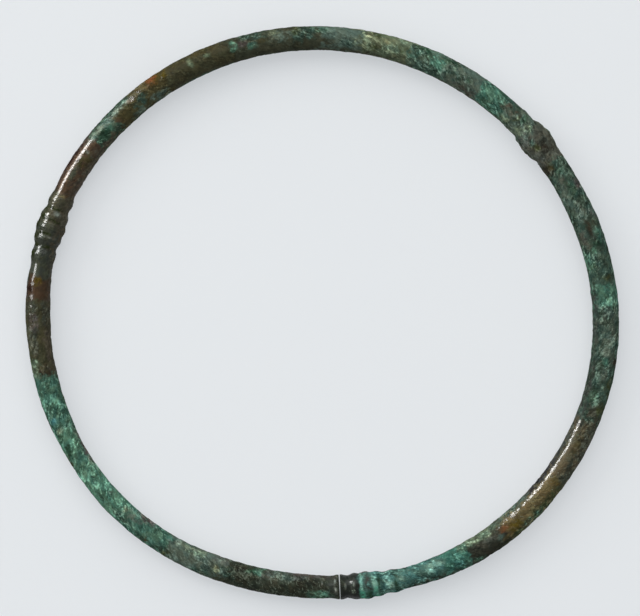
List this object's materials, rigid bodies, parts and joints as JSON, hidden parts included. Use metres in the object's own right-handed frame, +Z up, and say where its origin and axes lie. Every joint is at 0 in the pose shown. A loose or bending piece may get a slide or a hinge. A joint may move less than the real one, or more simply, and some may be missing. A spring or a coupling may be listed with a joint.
{
  "type": "bronze torc",
  "caption": "Cast bronze neck ring of round rod, nearly closed, with groups of bulb and ring mouldings and a narrow slit, under a green and brown patina.",
  "frame": {"origin": "on the ground plane, under the middle of the torc's outline as it lies flat", "axes": "+Z up out of the flat ring, +X along its widest outside measure, with the slit near -Y"},
  "size_m": [0.1466, 0.1416, 0.0077],
  "materials": {
    "patinated_bronze": "Mottled patina: matte teal green and mint crust in places, glossy dark olive to red-brown bronze in others."
  },
  "bodies": {
    "root": {"torc_ring": "patinated_bronze"}
  },
  "joints": []
}
